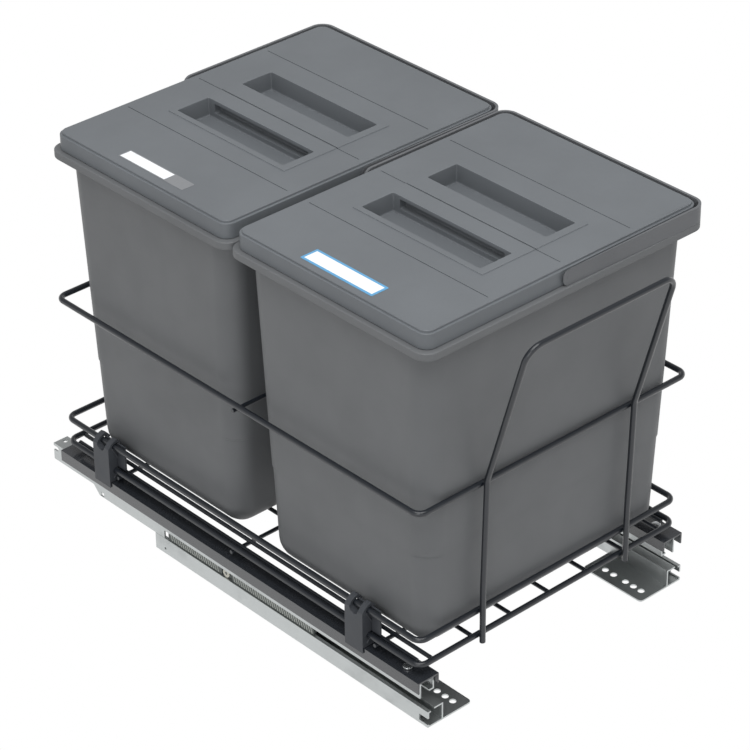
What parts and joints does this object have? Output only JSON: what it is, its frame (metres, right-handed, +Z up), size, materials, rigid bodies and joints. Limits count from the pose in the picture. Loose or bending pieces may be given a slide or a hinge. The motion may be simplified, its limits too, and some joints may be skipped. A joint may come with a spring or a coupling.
{
  "type": "pull out trash cabinet",
  "caption": "Pull-out waste sorter for a base cabinet: lidded plastic bins with carrying bails in a coated wire basket with a pull handle, on full-extension steel runners",
  "frame": {"origin": "On the plane that the mounting plates stand on, below the middle of the object's box", "axes": "+Z up, +X to the right seen from the front, the drawer pulls out towards -Y"},
  "size_m": [0.3318, 0.5641, 0.3947],
  "materials": {
    "bin_plastic": "fine-grained dark grey moulded plastic",
    "lid_plastic": "fine-grained grey moulded plastic",
    "bail_plastic": "fine-grained grey moulded plastic",
    "label_film": "blank white adhesive film",
    "coated_wire": "anthracite powder coat, semi-gloss",
    "channel_paint": "dark grey powder coat",
    "zinc_plate": "zinc-plated sheet steel",
    "bright_steel": "bright screw steel",
    "cage_plastic": "greenish grey ribbed plastic",
    "roller_plastic": "pale natural plastic",
    "bracket_plastic": "dark grey moulded plastic"
  },
  "bodies": {
    "fixed_rails": {"left_fixed_rail": "zinc_plate", "right_fixed_rail": "zinc_plate"},
    "left_intermediate": {"left_intermediate": "zinc_plate"},
    "right_intermediate": {"right_intermediate": "zinc_plate"},
    "left_lower_cage": {"left_lower_cage": "cage_plastic", "left_roller": "roller_plastic"},
    "right_lower_cage": {"right_lower_cage": "cage_plastic", "right_roller": "roller_plastic"},
    "left_upper_cage": {"left_upper_cage": "cage_plastic"},
    "right_upper_cage": {"right_upper_cage": "cage_plastic"},
    "carriage": {"left_channel": "channel_paint", "right_channel": "channel_paint", "left_channel_screw": "bright_steel", "right_channel_screw": "bright_steel", "front_left_bracket": "bracket_plastic", "front_right_bracket": "bracket_plastic", "rear_left_bracket": "bracket_plastic", "rear_right_bracket": "bracket_plastic", "front_left_clip": "bracket_plastic", "front_right_clip": "bracket_plastic", "rear_left_clip": "bracket_plastic", "rear_right_clip": "bracket_plastic", "front_left_clip_screw": "bright_steel", "front_right_clip_screw": "bright_steel", "rear_left_clip_screw": "bright_steel", "rear_right_clip_screw": "bright_steel", "lower_base_loop": "coated_wire", "upper_base_loop": "coated_wire", "mid_loop": "coated_wire", "pull_handle": "coated_wire", "left_rear_upright": "coated_wire", "right_rear_upright": "coated_wire", "floor_wire_1": "coated_wire", "floor_wire_2": "coated_wire", "floor_wire_3": "coated_wire", "floor_wire_4": "coated_wire", "floor_wire_5": "coated_wire", "floor_wire_6": "coated_wire", "floor_wire_7": "coated_wire", "left_side_rod": "coated_wire", "right_side_rod": "coated_wire", "cross_wire_1": "coated_wire", "cross_wire_2": "coated_wire", "cross_wire_3": "coated_wire", "mid_cross_wire": "coated_wire"},
    "front_bin": {"front_bin": "bin_plastic"},
    "rear_bin": {"rear_bin": "bin_plastic"},
    "front_lid": {"front_lid": "lid_plastic", "front_label": "label_film"},
    "rear_lid": {"rear_lid": "lid_plastic", "rear_label": "label_film"},
    "front_bail": {"front_bail": "bail_plastic"},
    "rear_bail": {"rear_bail": "bail_plastic"}
  },
  "joints": [
    {"name": "pull_out", "type": "slide", "parent": "fixed_rails", "child": "carriage", "axis": [0, -1, 0], "range_m": [0, 0.45]},
    {"name": "left_intermediate_slide", "type": "slide", "parent": "fixed_rails", "child": "left_intermediate", "axis": [0, -1, 0], "range_m": [0, 0.225]},
    {"name": "right_intermediate_slide", "type": "slide", "parent": "fixed_rails", "child": "right_intermediate", "axis": [0, -1, 0], "range_m": [0, 0.225]},
    {"name": "left_lower_cage_slide", "type": "slide", "parent": "fixed_rails", "child": "left_lower_cage", "axis": [0, -1, 0], "range_m": [0, 0.1125]},
    {"name": "right_lower_cage_slide", "type": "slide", "parent": "fixed_rails", "child": "right_lower_cage", "axis": [0, -1, 0], "range_m": [0, 0.1125]},
    {"name": "left_upper_cage_slide", "type": "slide", "parent": "fixed_rails", "child": "left_upper_cage", "axis": [0, -1, 0], "range_m": [0, 0.3375]},
    {"name": "right_upper_cage_slide", "type": "slide", "parent": "fixed_rails", "child": "right_upper_cage", "axis": [0, -1, 0], "range_m": [0, 0.3375]},
    {"name": "front_bin_lift", "type": "slide", "parent": "carriage", "child": "front_bin", "axis": [0, 0, 1], "range_m": [0, 0.34]},
    {"name": "rear_bin_lift", "type": "slide", "parent": "carriage", "child": "rear_bin", "axis": [0, 0, 1], "range_m": [0, 0.34]},
    {"name": "front_lid_lift", "type": "slide", "parent": "front_bin", "child": "front_lid", "axis": [0, 0, 1], "range_m": [0, 0.1]},
    {"name": "rear_lid_lift", "type": "slide", "parent": "rear_bin", "child": "rear_lid", "axis": [0, 0, 1], "range_m": [0, 0.1]},
    {"name": "front_bail_swing", "type": "hinge", "parent": "front_bin", "child": "front_bail", "pos_m": [0, -0.1199, 0.38485], "axis": [0, -1, 0], "range_deg": [0, 180]},
    {"name": "rear_bail_swing", "type": "hinge", "parent": "rear_bin", "child": "rear_bail", "pos_m": [0, 0.1261, 0.38485], "axis": [0, -1, 0], "range_deg": [0, 180]}
  ],
  "couplings": [
    {"joint": "left_intermediate_slide", "follows": "pull_out", "ratio": 0.5},
    {"joint": "right_intermediate_slide", "follows": "pull_out", "ratio": 0.5},
    {"joint": "left_lower_cage_slide", "follows": "pull_out", "ratio": 0.25},
    {"joint": "right_lower_cage_slide", "follows": "pull_out", "ratio": 0.25},
    {"joint": "left_upper_cage_slide", "follows": "pull_out", "ratio": 0.75},
    {"joint": "right_upper_cage_slide", "follows": "pull_out", "ratio": 0.75}
  ]
}
